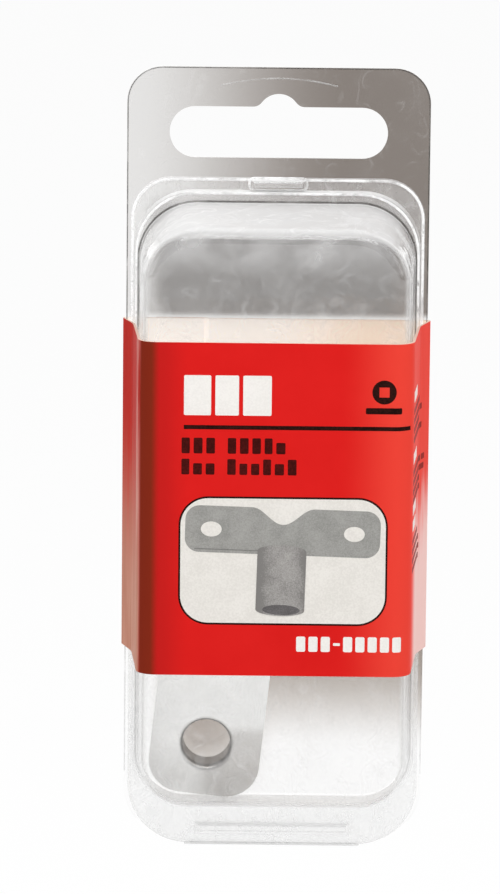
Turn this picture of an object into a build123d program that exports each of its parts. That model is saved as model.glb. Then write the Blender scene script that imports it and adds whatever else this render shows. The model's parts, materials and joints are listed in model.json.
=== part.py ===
"""Carded pack with a loose key for square valve stems and radiator bleed valves.

Frame: X to the right, Y to the back, Z up, in millimetres.  The origin is under
the crown of the hang slot, where a display hook bears, on the parting plane
between the clamshell's front and back sheets.
"""

import os

from build123d import *

# Clamshell sheet, seen from the front.
SHEET = 0.4
BACK_HALF_W = 22.1
PACK_TOP = 3.9
TOP_CORNER_R = 5.2
FOLD_Z = -112.5
FOLD_CORNER_R = 9.0

# Hang slot (the wide slot with a crown for a single hook).
SLOT_W = 31.8
SLOT_H = 7.5
CROWN_RISE = 1.9
CROWN_TIP_R = 3.1
CROWN_FLARE_R = 1.6

# Arch-shaped stiffening rib above the slot.
ARCH_R = 34.0
ARCH_TOP = 2.5
ARCH_HALF_SPAN = 9.0
ARCH_W = 0.5
ARCH_H = 0.15

# Front sheet: rim, terrace and dome.
RIM_TOP = -12.3
RIM_HALF_W = 21.5
RIM_CORNER_R = 6.0
TERRACE_TOP = -14.0
TERRACE_BOTTOM = -106.4
TERRACE_HALF_W = 21.0
TERRACE_H = 1.6
TERRACE_DRAFT = 0.3
DOME_TOP = -15.7
DOME_BOTTOM = -105.5
DOME_HALF_W = 20.3
DOME_CORNER_R = 8.6
DOME_FOOT_R = 7.4
DOME_DEPTH = 19.05
FACE_TOP = -17.2
FACE_BOTTOM = -102.3
FACE_HALF_W = 19.1
FACE_CORNER_R = 8.0
FACE_FOOT_R = 6.8
FACE_EDGE_R = 2.0

# Back sheet: shallow plug that snaps into the terrace.
PLUG_H = 1.0
PLUG_GAP = 0.3
HINGE_END_GAP = 0.1

# Strips raised from the rim: width, height and how far each stands out, with its middle's Z.
THUMB_BUMP = ((7.9, 1.5, 1.3), -13.25)
FOLD_RIB = ((23.0, 1.8, 0.9), -110.2)
RAISED_STRIPS = (THUMB_BUMP, FOLD_RIB)
STRIP_EDGE_R = 0.5

# Card sleeve: one strip wrapped round the closed clamshell.
CARD = 0.35
CARD_TOP = -33.3
CARD_H = 49.0
CARD_FRONT_Y = -19.5
CARD_FRONT_HALF_W = 19.75
CARD_FRONT_R = 2.9
CARD_KNEE = (20.95, -4.6)
CARD_KNEE_R = 8.0
CARD_BACK_HALF_W = 22.75
CARD_BACK_Y = 0.8
CARD_BACK_R = 0.6
CARD_SPLIT_Y = 0.2
FLAP_FOLD_IN = 3.0
LAP_EDGE_X = -10.7
LAP_W = 7.0
LAP_RISE = 0.8
LAP_STEP_GAP = 0.1
GLUE = 0.05
GLUE_MARGIN = 1.0
GLUE_END_MARGIN = 2.0

# Key: two mirrored steel stampings and a square-bored bush.
KEY_SPAN = 65.5
WING_H = 16.3
PLY = 1.55
WING_CORNER_R = 5.0
DIP_DEPTH = 5.6
DIP_R = 6.0
DIP_SHOULDER_R = 6.0
KEY_HEIGHT = 33.5
BARREL_R = 8.2
BARREL_WALL = 1.3
BARREL_CROWN = 10.5
CROWN_R = 5.0
NECK_R = 1.0
HOLE_R = 3.5
HOLE_FROM_END = 8.0
HOLE_LIP_R = 0.9
COLLAR_WALL = 0.8
COLLAR_PROUD = 0.7
SQUARE = 7.94
SQUARE_CORNER_R = 0.6
BUSH_LEN = 15.0
BUSH_RECESS = 0.6
BUSH_CHAMFER = 0.5

# How the key lies in the dome: low end left and back, barrel to the right.
KEY_ROLL = 6.0
KEY_LEAN = 6.0
KEY_AT = (-15.25, -9.85, -69.7)

# Cutters reach this far past what they cut; lengths that match within NEAR are the same.
CLEAR = 2.0
NEAR = 0.05


def front_plane(depth):
    """Sketch plane across the pack, at a depth in front of the parting plane."""
    return Plane(origin=(0, -depth, 0), x_dir=(1, 0, 0), z_dir=(0, -1, 0))


def panel(half_w, top, bottom, top_r, bottom_r, depth=0.0):
    """A face across the pack with round corners, set by its top and bottom edges."""
    middle = (top + bottom) / 2
    with BuildSketch(front_plane(depth)) as sketch:
        with Locations((0, middle)):
            Rectangle(2 * half_w, top - bottom)
        fillet([v for v in sketch.vertices() if v.Y > middle + top_r], top_r)
        fillet([v for v in sketch.vertices() if v.Y < middle - bottom_r - top_r], bottom_r)
    return sketch.sketch


def frustum(near, far):
    """Solid between two panels with matching corners."""
    return loft([near.face(), far.face()], ruled=True)


def rounded_front(solid, radius):
    """Round the edge loop of a solid's frontmost face."""
    face = solid.faces().sort_by(Axis.Y)[0]
    return fillet(face.edges(), radius)


def hang_slot():
    """Cutter for the hang slot: a round-ended slot with a flared crown on top."""
    floor = -SLOT_H - CROWN_RISE
    with BuildSketch(front_plane(CLEAR / 2)) as sketch:
        with Locations((0, floor + SLOT_H / 2)):
            SlotOverall(SLOT_W, SLOT_H)
        with Locations((0, -CROWN_TIP_R)):
            Circle(CROWN_TIP_R)
        roots = [v for v in sketch.vertices() if abs(v.Y + CROWN_RISE) < NEAR]
        fillet([v for v in roots if abs(v.X) < CROWN_TIP_R], CROWN_FLARE_R)
    return extrude(sketch.sketch, -CLEAR - SHEET)


def arch_rib():
    """Low rib that arches over the hang slot, on the tab's front face."""
    centre = ARCH_TOP - ARCH_R
    with BuildSketch(front_plane(0.0)) as sketch:
        with Locations((0, centre)):
            Circle(ARCH_R)
            Circle(ARCH_R - ARCH_W, mode=Mode.SUBTRACT)
        with Locations((0, ARCH_TOP)):
            Rectangle(2 * ARCH_HALF_SPAN, ARCH_R / 4, mode=Mode.INTERSECT)
    return extrude(sketch.sketch, ARCH_H)


def back_shell():
    """Back sheet with the hang tab, the slot and the plug behind the terrace."""
    outline = panel(BACK_HALF_W, PACK_TOP, FOLD_Z, TOP_CORNER_R, FOLD_CORNER_R)
    sheet = extrude(outline, -SHEET)
    inset = SHEET + PLUG_GAP
    plug_half = TERRACE_HALF_W - TERRACE_DRAFT - inset
    top = TERRACE_TOP - TERRACE_DRAFT - inset
    bottom = TERRACE_BOTTOM + TERRACE_DRAFT + inset
    top_r = DOME_CORNER_R - inset
    foot_r = DOME_FOOT_R - inset
    plug = extrude(panel(plug_half, top, bottom, top_r, foot_r, -SHEET), SHEET + PLUG_H)
    hollow = panel(plug_half - SHEET, top - SHEET, bottom + SHEET, top_r - SHEET, foot_r - SHEET, -2 * SHEET)
    hollow = extrude(hollow, SHEET + PLUG_H)
    return sheet + plug + arch_rib() - hollow - hang_slot()


def terrace(grow, depth):
    """Low step round the dome's foot; grow moves its walls outwards."""
    top = TERRACE_TOP + grow
    bottom = TERRACE_BOTTOM - grow
    half = TERRACE_HALF_W + grow
    top_r = DOME_CORNER_R + grow
    foot_r = DOME_FOOT_R + grow
    draft = TERRACE_DRAFT
    near = panel(half, top, bottom, top_r, foot_r)
    far = panel(half - draft, top - draft, bottom + draft, top_r - draft, foot_r - draft, depth)
    return frustum(near, far)


def dome(grow, depth, edge_r):
    """Drafted dome with a rounded front edge; grow moves its walls outwards."""
    near_r = (DOME_CORNER_R + grow, DOME_FOOT_R + grow)
    far_r = (FACE_CORNER_R + grow, FACE_FOOT_R + grow)
    near = panel(DOME_HALF_W + grow, DOME_TOP + grow, DOME_BOTTOM - grow, *near_r)
    far = panel(FACE_HALF_W + grow, FACE_TOP + grow, FACE_BOTTOM - grow, *far_r, depth)
    return rounded_front(frustum(near, far), edge_r)


def raised_strip(size, middle_z, inset):
    """Rounded strip raised from the rim; size is its width, height and how far it stands out."""
    width, tall, proud = size
    block = Box(width - 2 * inset, 2 * (proud - inset), tall - 2 * inset)
    return rounded_front(Pos(0, -SHEET, middle_z) * block, STRIP_EDGE_R - inset / 2)


def front_shell():
    """Front sheet: flat rim, terrace, dome, thumb bump and fold rib, all hollow."""
    outline = panel(RIM_HALF_W, RIM_TOP, FOLD_Z, RIM_CORNER_R, FOLD_CORNER_R)
    rim = extrude(outline, SHEET)
    outside = rim + terrace(0.0, TERRACE_H) + dome(0.0, DOME_DEPTH, FACE_EDGE_R)
    for size, middle_z in RAISED_STRIPS:
        outside = outside + raised_strip(size, middle_z, 0.0)
    inside = terrace(-SHEET, TERRACE_H - SHEET) + dome(-SHEET, DOME_DEPTH - SHEET, FACE_EDGE_R - SHEET)
    for size, middle_z in RAISED_STRIPS:
        inside = inside + raised_strip(size, middle_z, SHEET)
    behind = Box(3 * RIM_HALF_W, DOME_DEPTH, -2 * FOLD_Z)
    return outside - inside - Pos(0, DOME_DEPTH / 2, FOLD_Z / 2) * behind


def living_hinge():
    """Half-round fold that joins the two sheets along the pack's foot."""
    length = 2 * (BACK_HALF_W - FOLD_CORNER_R - HINGE_END_GAP)
    rod = Pos(0, 0, FOLD_Z) * Rot(0, 90, 0) * Cylinder(SHEET, length)
    above = Pos(0, 0, FOLD_Z + CLEAR / 2) * Box(length + CLEAR, CLEAR, CLEAR)
    return rod - above


def sleeve_outline(inset):
    """Closed plan outline of the sleeve's front and sides; inset moves it inwards."""
    front_x = CARD_FRONT_HALF_W - inset
    front_y = CARD_FRONT_Y + inset
    knee_x = CARD_KNEE[0] - inset
    back_x = CARD_BACK_HALF_W - inset
    back_y = CARD_BACK_Y - inset
    right = [(front_x, front_y), (knee_x, CARD_KNEE[1]), (back_x, back_y)]
    left = [(-x, y) for x, y in reversed(right)]
    with BuildSketch() as sketch:
        with BuildLine():
            Polyline(*right, *left, close=True)
        make_face()
        fillet([v for v in sketch.vertices() if v.Y < front_y + NEAR], CARD_FRONT_R - inset)
        fillet([v for v in sketch.vertices() if abs(v.Y - CARD_KNEE[1]) < NEAR], CARD_KNEE_R)
        fillet([v for v in sketch.vertices() if v.Y > 0], CARD_BACK_R - inset)
    return sketch.sketch


def card_slab(profile, top=CARD_TOP, height=CARD_H):
    """Plan profile carried down over the card's height."""
    return Pos(0, 0, top - height) * extrude(profile, height)


def sleeve_loop():
    """The folded strip as one closed loop, before it is parted at its folds."""
    return card_slab(sleeve_outline(0.0) - sleeve_outline(CARD))


def card_front_parts():
    """Front panel and the two side panels, parted at the front folds."""
    loop = sleeve_loop()
    fold_x = CARD_FRONT_HALF_W - CARD_FRONT_R
    middle = CARD_TOP - CARD_H / 2
    front = loop & (Pos(0, CARD_FRONT_Y, middle) * Box(2 * fold_x, CLEAR, 2 * CARD_H))
    side_len = CARD_SPLIT_Y - CARD_FRONT_Y + CLEAR
    reach = CARD_BACK_HALF_W - fold_x + CLEAR
    side_box = Pos(0, CARD_SPLIT_Y - side_len / 2, middle) * Box(reach, side_len, 2 * CARD_H)
    right = loop & (Pos(fold_x + reach / 2, 0, 0) * side_box)
    left = loop & (Pos(-fold_x - reach / 2, 0, 0) * side_box)
    return front, left, right


def back_corner(side):
    """The sleeve's back corner, past the line where the side panel ends."""
    middle = CARD_TOP - CARD_H / 2
    start = BACK_HALF_W - FLAP_FOLD_IN
    reach = CARD_BACK_HALF_W - start + CLEAR
    place = Pos(side * (start + reach / 2), CARD_SPLIT_Y + CLEAR / 2, middle)
    return sleeve_loop() & (place * Box(reach, CLEAR, 2 * CARD_H))


def card_back_left_flap():
    """Inner back flap; its edge shows through the clear back sheet."""
    inner = CARD_BACK_Y - CARD
    start = -BACK_HALF_W + FLAP_FOLD_IN
    profile = [(start, inner), (LAP_EDGE_X, inner), (LAP_EDGE_X, CARD_BACK_Y), (start, CARD_BACK_Y)]
    flap = card_slab(make_face(Polyline(*profile, close=True)))
    return flap + back_corner(-1)


def card_back_right_flap():
    """Outer back flap, stepped back where it laps over the inner one."""
    inner = CARD_BACK_Y - CARD
    step = CARD + GLUE
    start = BACK_HALF_W - FLAP_FOLD_IN
    bend = LAP_EDGE_X + LAP_RISE
    step_end = LAP_EDGE_X + LAP_STEP_GAP
    tip = LAP_EDGE_X - LAP_W
    inside = [(start, inner), (bend, inner), (step_end, inner + step), (tip, inner + step)]
    outside = [(x, y + CARD) for x, y in reversed(inside)]
    flap = card_slab(make_face(Polyline(*inside, *outside, close=True)))
    return flap + back_corner(1)


def card_glue_strip():
    """Glue film between the two back flaps."""
    width = LAP_W - 2 * GLUE_MARGIN
    height = CARD_H - 2 * GLUE_END_MARGIN
    centre = (LAP_EDGE_X - LAP_W / 2, CARD_BACK_Y + GLUE / 2, CARD_TOP - CARD_H / 2)
    return Pos(*centre) * Box(width, GLUE, height)


def wing_outline():
    """Wing plate seen square on: X from its top edge towards the barrel, Z along the span."""
    half = KEY_SPAN / 2
    with BuildSketch(front_plane(0.0)) as sketch:
        with Locations((WING_H / 2, 0)):
            Rectangle(WING_H, KEY_SPAN)
        with Locations(((WING_H + KEY_HEIGHT - CLEAR) / 2, 0)):
            Rectangle(KEY_HEIGHT - WING_H - CLEAR, 2 * BARREL_R)
        ends = [v for v in sketch.vertices() if abs(v.Y) > half - NEAR]
        fillet(ends, WING_CORNER_R)
        low = [v for v in sketch.vertices() if abs(v.X - WING_H) < NEAR]
        fillet([v for v in low if abs(v.Y) < BARREL_R + NEAR], NECK_R)
        with Locations((DIP_DEPTH - DIP_R, 0)):
            Circle(DIP_R, mode=Mode.SUBTRACT)
        top = [v for v in sketch.vertices() if abs(v.X) < NEAR]
        fillet([v for v in top if abs(v.Y) < DIP_R + NEAR], DIP_SHOULDER_R)
    return sketch.sketch


def key_blank():
    """Both stampings together, solid: flat wing, barrel with a rounded crown, filleted roots."""
    plate = extrude(wing_outline(), PLY, both=True)
    length = KEY_HEIGHT - BARREL_CROWN
    barrel = Pos(BARREL_CROWN + length / 2, 0, 0) * Rot(0, 90, 0) * Cylinder(BARREL_R, length)
    crown = barrel.edges().sort_by(Axis.X)[0]
    barrel = fillet(crown, CROWN_R)
    return plate + barrel


def key_bore():
    """Hollow of the barrel, open at the mouth."""
    start = BARREL_CROWN + BARREL_WALL
    length = KEY_HEIGHT - start + CLEAR
    rod = Pos(start + length / 2, 0, 0) * Rot(0, 90, 0) * Cylinder(BARREL_R - BARREL_WALL, length)
    return fillet(rod.edges().sort_by(Axis.X)[0], CROWN_R - BARREL_WALL)


def hole_axis(side):
    """Location of a wing hole, with local Z towards the back."""
    return Pos(WING_H / 2, 0, side * (KEY_SPAN / 2 - HOLE_FROM_END)) * Rot(-90, 0, 0)


def key_half(front):
    """One stamping: half of the blank, hollowed, with its pair of wing holes."""
    side = -1 if front else 1
    depth = BARREL_R + CLEAR
    keep = Box(KEY_HEIGHT + CLEAR, depth, KEY_SPAN + CLEAR)
    half = (key_blank() & (Pos(KEY_HEIGHT / 2, side * depth / 2, 0) * keep)) - key_bore()
    collar_r = HOLE_R + COLLAR_WALL
    through = 2 * depth
    for end in (-1, 1):
        place = hole_axis(end)
        if front:
            reach = PLY + COLLAR_PROUD
            half = half + place * Pos(0, 0, reach / 2) * Cylinder(collar_r, reach)
            half = half - place * Cylinder(HOLE_R, through)
        else:
            half = half - place * Cylinder(collar_r, through)
    if front:
        rims = [e for e in half.edges().filter_by(GeomType.CIRCLE) if abs(e.radius - HOLE_R) < NEAR]
        half = fillet([e for e in rims if abs(e.center().Y + PLY) < NEAR], HOLE_LIP_R)
    return half


def key_socket():
    """Bush pressed in the barrel, with the square hole that turns the stem."""
    outer = BARREL_R - BARREL_WALL
    mouth = KEY_HEIGHT - BUSH_RECESS
    turned = Rot(0, 90, 0) * Cylinder(outer, BUSH_LEN)
    turned = chamfer(turned.edges().sort_by(Axis.X)[-1], BUSH_CHAMFER)
    square = Box(BUSH_LEN + CLEAR, SQUARE, SQUARE)
    square = fillet(square.edges().filter_by(Axis.X), SQUARE_CORNER_R)
    return Pos(mouth - BUSH_LEN / 2, 0, 0) * (turned - square)


def in_dome(solid):
    """Lay a piece of the key in the dome."""
    return Pos(*KEY_AT) * Rot(0, KEY_ROLL, 0) * Rot(KEY_LEAN, 0, 0) * solid


def build():
    """Every node of the pack by name."""
    front_panel, left_side, right_side = card_front_parts()
    return {
        "back_shell": back_shell(),
        "front_shell": front_shell(),
        "living_hinge": living_hinge(),
        "card_front_panel": front_panel,
        "card_left_side": left_side,
        "card_right_side": right_side,
        "card_back_left_flap": card_back_left_flap(),
        "card_back_right_flap": card_back_right_flap(),
        "card_glue_strip": card_glue_strip(),
        "key_front_stamping": in_dome(key_half(front=True)),
        "key_back_stamping": in_dome(key_half(front=False)),
        "key_socket": in_dome(key_socket()),
    }


os.makedirs("parts", exist_ok=True)
for node, solid in build().items():
    export_step(solid, f"parts/{node}.step")
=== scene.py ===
"""Looks of the carded key pack: clear clamshell, printed sleeve and zinc-plated key.

Everything is in metres in the CAD frame: X right, Y back, Z up, with the origin
under the crown of the hang slot.  Sizes written in millimetres use MM.
"""

import json
import math
import random

import bmesh
import bpy
from mathutils import Matrix, Vector

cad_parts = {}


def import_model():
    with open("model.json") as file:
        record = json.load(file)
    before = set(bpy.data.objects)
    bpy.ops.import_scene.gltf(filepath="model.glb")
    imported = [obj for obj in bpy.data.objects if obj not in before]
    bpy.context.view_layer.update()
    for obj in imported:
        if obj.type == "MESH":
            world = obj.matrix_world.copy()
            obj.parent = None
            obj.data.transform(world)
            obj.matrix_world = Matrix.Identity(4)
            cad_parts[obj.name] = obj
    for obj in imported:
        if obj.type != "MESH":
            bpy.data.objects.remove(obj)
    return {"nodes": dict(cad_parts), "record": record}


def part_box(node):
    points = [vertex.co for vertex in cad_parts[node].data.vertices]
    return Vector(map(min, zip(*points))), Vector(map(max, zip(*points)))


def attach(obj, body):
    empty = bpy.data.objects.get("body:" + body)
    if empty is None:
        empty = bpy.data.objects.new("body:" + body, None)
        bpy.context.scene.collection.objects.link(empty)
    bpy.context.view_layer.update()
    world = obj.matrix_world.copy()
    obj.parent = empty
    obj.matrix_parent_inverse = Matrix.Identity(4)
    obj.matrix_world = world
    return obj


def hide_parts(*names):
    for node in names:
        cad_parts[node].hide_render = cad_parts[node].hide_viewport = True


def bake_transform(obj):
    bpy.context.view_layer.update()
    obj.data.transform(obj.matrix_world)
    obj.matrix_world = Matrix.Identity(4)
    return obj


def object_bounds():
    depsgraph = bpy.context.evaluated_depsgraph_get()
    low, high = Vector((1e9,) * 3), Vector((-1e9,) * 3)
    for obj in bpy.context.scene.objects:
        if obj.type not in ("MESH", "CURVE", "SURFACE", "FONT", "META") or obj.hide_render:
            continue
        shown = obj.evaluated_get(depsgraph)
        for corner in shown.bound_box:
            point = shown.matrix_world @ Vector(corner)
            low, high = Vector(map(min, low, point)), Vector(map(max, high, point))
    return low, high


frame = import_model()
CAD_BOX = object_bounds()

MM = 0.001


def mm(*values):
    """Lengths given in mm, in metres."""
    return tuple(value * MM for value in values)


# Camera at the photo's viewing angle: what it looks at, from where, and its lens in mm.
CAM_TARGET = Vector((-3.7, -10.0, -50.4)) * MM
CAM_DISTANCE = 0.8865
CAM_ELEVATION = math.radians(11.39)
CAM_AZIMUTH = math.radians(0.30)
CAM_ROLL = math.radians(0.56)
CAM_LENS = 245.4

# Right half of the sleeve's outer plan profile, as in the CAD: corners as x, y and radius, in mm.
SLEEVE_CORNERS = (
    (0.0, -19.5, 0.0),
    (19.75, -19.5, 2.9),
    (20.95, -4.6, 8.0),
    (22.75, 0.8, 0.0),
)

# Thickness of one film of ink.
INK = 0.015 * MM

# Places and axes of the stated mounts.
MOUNTS = {}
for stated in frame["record"]["mounts"]:
    MOUNTS[stated["name"]] = (stated["pos_m"], stated["axis"])


# ---------------------------------------------------------------- node helpers


class Nodes:
    """Short calls for one material's or world's node tree."""

    def __init__(self, tree):
        self.tree = tree
        self.tree.nodes.clear()

    def add(self, kind, **inputs):
        node = self.tree.nodes.new(kind)
        for key, value in inputs.items():
            name = key.replace("_", " ")
            if name in node.inputs:
                self.put(node.inputs[name], value)
            else:
                setattr(node, key, value)
        return node

    def put(self, socket, value):
        if isinstance(value, bpy.types.NodeSocket):
            self.tree.links.new(value, socket)
        else:
            socket.default_value = value

    def math(self, operation, a, b=0.0, c=0.0, clamp=False):
        node = self.tree.nodes.new("ShaderNodeMath")
        node.operation = operation
        node.use_clamp = clamp
        for socket, value in zip(node.inputs, (a, b, c)):
            self.put(socket, value)
        return node.outputs[0]

    def mix(self, factor, a, b, blend="MIX"):
        node = self.tree.nodes.new("ShaderNodeMix")
        node.data_type = "RGBA"
        node.blend_type = blend
        self.put(node.inputs[0], factor)
        self.put(node.inputs[6], a)
        self.put(node.inputs[7], b)
        return node.outputs[2]

    def step(self, value, low, high):
        """0 below low, 1 above high, smooth between; low may be above high."""
        node = self.tree.nodes.new("ShaderNodeMapRange")
        node.interpolation_type = "SMOOTHSTEP"
        self.put(node.inputs["Value"], value)
        self.put(node.inputs["From Min"], low)
        self.put(node.inputs["From Max"], high)
        return node.outputs[0]

    def place(self):
        """Object position as separate X, Y and Z, in metres."""
        coord = self.tree.nodes.new("ShaderNodeTexCoord")
        parts = self.tree.nodes.new("ShaderNodeSeparateXYZ")
        self.put(parts.inputs[0], coord.outputs["Object"])
        return coord, parts.outputs

    def noise(self, vector, scale, detail=3.0, roughness=0.5):
        node = self.tree.nodes.new("ShaderNodeTexNoise")
        self.put(node.inputs["Vector"], vector)
        self.put(node.inputs["Scale"], scale)
        self.put(node.inputs["Detail"], detail)
        self.put(node.inputs["Roughness"], roughness)
        return node.outputs[0]

    def stretch(self, vector, scale):
        node = self.tree.nodes.new("ShaderNodeMapping")
        self.put(node.inputs["Vector"], vector)
        node.inputs["Scale"].default_value = scale
        return node.outputs[0]

    def bump(self, height, strength, distance):
        node = self.tree.nodes.new("ShaderNodeBump")
        self.put(node.inputs["Height"], height)
        node.inputs["Strength"].default_value = strength
        node.inputs["Distance"].default_value = distance
        return node.outputs[0]

    def out(self, shader):
        node = self.tree.nodes.new("ShaderNodeOutputMaterial")
        self.tree.links.new(shader, node.inputs["Surface"])


def new_material(name):
    material = bpy.data.materials.new(name)
    material.use_nodes = True
    return material, Nodes(material.node_tree)


def rgb(red, green, blue):
    return (red, green, blue, 1.0)


# ---------------------------------------------------------------- clear sheet

# A pair of lengths in these settings is where an effect starts and where it is full.

# Light let through one face, square on and edge on.
SHEET_CLEAR = rgb(0.993, 0.993, 0.992)
SHEET_EDGE_ON = rgb(0.72, 0.71, 0.70)

# Mirror gloss: always there, and added edge on.
SHEET_MIRROR = 0.045
SHEET_MIRROR_EDGE_ON = 0.85
SHEET_ROUGHNESS = 0.045

# Whitening by scratches and clouds, in both sheets.
SCRATCH_HAZE = 0.08
CLOUD_HAZE = 0.04

# Whitening of the front sheet: painted highlight on the level and side walls and on the rim,
# standing in for the lights' reflection, and smears.
LEVEL_WALL_PAINTED_HIGHLIGHT = 0.52
SIDE_WALL_PAINTED_HIGHLIGHT = 0.20
RIM_PAINTED_HIGHLIGHT = 0.20
RIM_HIGHLIGHT_DEPTH = mm(-2.6, -1.8)
SMEAR_HAZE = 0.11

# Soft bright wisps on the dome's face, strongest just under its top edge.
FACE_HAZE = 0.34
FACE_HAZE_DEPTH = mm(-18.2, -18.9)
FACE_HAZE_FADE = mm(-25.0, -18.5)

# Painted shade: the grey of the shaded backdrop behind, painted into the back sheet above the
# sleeve across the tab, and behind the dome.
BACKDROP_SHADE_LEFT = rgb(0.90, 0.895, 0.89)
BACKDROP_SHADE_RIGHT = rgb(0.475, 0.44, 0.415)
BACKDROP_SHADE_SPAN = mm(-22, 11)
BACKDROP_SHADE_FADE = mm(-33.4, -31.9)
DOME_BACKDROP_SHADE = rgb(0.46, 0.447, 0.437)
DOME_SHADE_TOP = mm(-14.0, -18.5)
DOME_SHADE_SIDE = mm(20.5, 15.5)

# Painted shadow: a warm soft shadow painted into the back sheet below the sleeve, which reaches
# lower at its left.
LOW_PAINTED_SHADOW = rgb(0.60, 0.553, 0.515)
LOW_SHADOW_START = mm(-75, -82.3)
LOW_SHADOW_FADE = mm(-99, -83)
LOW_SHADOW_LEFT_FADE = mm(-107, -93)
LOW_SHADOW_LEFT = mm(1, -10)
LOW_SHADOW_EDGE = mm(-19, -11.5)


def clear_sheet(name, painted_backdrop):
    """Clear thermoformed sheet: see-through, glossier and greyer where it turns edge on.

    One sheet has painted shade above the sleeve, the grey of the backdrop behind it,
    weak at its left and strong at its right, and a faint warm painted shadow just below
    the sleeve.  The other is whitened by a painted highlight on its level and side walls
    and on its rim.
    """
    material, n = new_material(name)
    coord, (x, y, z) = n.place()
    flat = n.add("ShaderNodeNewGeometry").outputs["True Normal"]
    facing = n.add("ShaderNodeLayerWeight", Blend=0.5, Normal=flat).outputs["Facing"]
    ripples = n.noise(n.stretch(coord.outputs["Object"], (90, 90, 40)), 1.0, 2.0)
    grain = n.noise(coord.outputs["Object"], 900.0, 2.0)
    height = n.math("MULTIPLY_ADD", grain, 0.05, ripples)
    normal = n.bump(height, 0.5, 1.0 * MM)
    body = n.mix(n.math("POWER", facing, 3.0), SHEET_CLEAR, SHEET_EDGE_ON)
    if painted_backdrop:
        # Painted shade: the backdrop's grey, light at the left, dark at the right and behind the
        # dome, painted into the sheet above the sleeve.
        across = n.step(x, *BACKDROP_SHADE_SPAN)
        backdrop_shade = n.mix(across, BACKDROP_SHADE_LEFT, BACKDROP_SHADE_RIGHT)
        inside = n.step(n.math("ABSOLUTE", x), *DOME_SHADE_SIDE)
        inside = n.math("MULTIPLY", inside, n.step(z, *DOME_SHADE_TOP))
        backdrop_shade = n.mix(inside, backdrop_shade, DOME_BACKDROP_SHADE)
        body = n.mix(n.step(z, *BACKDROP_SHADE_FADE), body, n.mix(1.0, body, backdrop_shade, "MULTIPLY"))
        # Painted shadow: warm, just below the sleeve, reaching lower at the left.
        left = n.step(x, *LOW_SHADOW_LEFT)
        low = n.mix(left, n.step(z, *LOW_SHADOW_FADE), n.step(z, *LOW_SHADOW_LEFT_FADE))
        low = n.math("MULTIPLY", low, n.step(z, *LOW_SHADOW_START))
        low = n.math("MULTIPLY", low, n.step(x, *LOW_SHADOW_EDGE))
        body = n.mix(low, body, n.mix(1.0, body, LOW_PAINTED_SHADOW, "MULTIPLY"))
    through = n.add("ShaderNodeBsdfTransparent", Color=body)
    gloss = n.add("ShaderNodeBsdfGlossy", Color=rgb(1, 1, 1), Normal=normal)
    gloss.inputs["Roughness"].default_value = SHEET_ROUGHNESS
    edge_on = n.math("POWER", facing, 3.5)
    mirror = n.math("MULTIPLY_ADD", edge_on, SHEET_MIRROR_EDGE_ON, SHEET_MIRROR, clamp=True)
    sheet = n.add("ShaderNodeMixShader", Fac=mirror)
    n.put(sheet.inputs[1], through.outputs[0])
    n.put(sheet.inputs[2], gloss.outputs[0])
    swirls = n.noise(coord.outputs["Object"], 60.0, 3.0, 0.6)
    bent = n.add("ShaderNodeVectorMath", operation="MULTIPLY_ADD")
    n.put(bent.inputs[0], swirls)
    bent.inputs[1].default_value = (0.05, 0.05, 0.05)
    n.put(bent.inputs[2], coord.outputs["Object"])
    scratches = n.noise(n.stretch(bent.outputs[0], (520, 520, 110)), 1.0, 4.0, 0.6)
    clouds = n.noise(coord.outputs["Object"], 70.0, 4.0, 0.55)
    haze_and_painted_highlight = n.math("MULTIPLY", n.step(scratches, 0.55, 0.70), SCRATCH_HAZE)
    haze_and_painted_highlight = n.math("MULTIPLY_ADD", n.step(clouds, 0.48, 0.75), CLOUD_HAZE, haze_and_painted_highlight)
    if not painted_backdrop:
        # Painted highlight: level and side walls and the rim are whitened, standing in for the
        # reflection of the lights.
        turned = n.add("ShaderNodeSeparateXYZ", Vector=coord.outputs["Normal"])
        level = n.step(n.math("ABSOLUTE", turned.outputs[2]), 0.45, 0.92)
        upright = n.step(n.math("ABSOLUTE", turned.outputs[0]), 0.55, 0.97)
        haze_and_painted_highlight = n.math("MULTIPLY_ADD", level, LEVEL_WALL_PAINTED_HIGHLIGHT, haze_and_painted_highlight)
        haze_and_painted_highlight = n.math("MULTIPLY_ADD", upright, SIDE_WALL_PAINTED_HIGHLIGHT, haze_and_painted_highlight)
        haze_and_painted_highlight = n.math("MULTIPLY_ADD", n.step(y, *RIM_HIGHLIGHT_DEPTH), RIM_PAINTED_HIGHLIGHT, haze_and_painted_highlight)
        smears = n.noise(n.stretch(bent.outputs[0], (190, 190, 75)), 1.0, 5.0, 0.75)
        haze_and_painted_highlight = n.math("MULTIPLY_ADD", n.step(smears, 0.46, 0.74), SMEAR_HAZE, haze_and_painted_highlight)
        wisps = n.noise(n.stretch(coord.outputs["Object"], (150, 150, 230)), 1.0, 2.0, 0.4)
        crown = n.math("MULTIPLY", n.step(y, *FACE_HAZE_DEPTH), n.step(z, *FACE_HAZE_FADE))
        crown = n.math("MULTIPLY", crown, n.step(wisps, 0.15, 0.75))
        haze_and_painted_highlight = n.math("MULTIPLY_ADD", crown, FACE_HAZE, haze_and_painted_highlight)
    haze_and_highlight_veil = n.add("ShaderNodeBsdfDiffuse", Color=rgb(0.95, 0.95, 0.95))
    final = n.add("ShaderNodeMixShader", Fac=haze_and_painted_highlight)
    n.put(final.inputs[1], sheet.outputs[0])
    n.put(final.inputs[2], haze_and_highlight_veil.outputs[0])
    n.out(final.outputs[0])
    return material


# ---------------------------------------------------------------- card

# Painted light: emission of the bare card, standing in for light that reaches it through the sheet.
BARE_CARD_PAINTED_GLOW = 0.38

# Low, so that ink and card don't gleam where they are seen at a grazing angle.
PRINT_IOR = 1.06

# The outside is what faces away from this depth, by more than the margin.
SLEEVE_MID_Y = -9.5 * MM
OUTSIDE_MARGIN = 1.0 * MM

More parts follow.
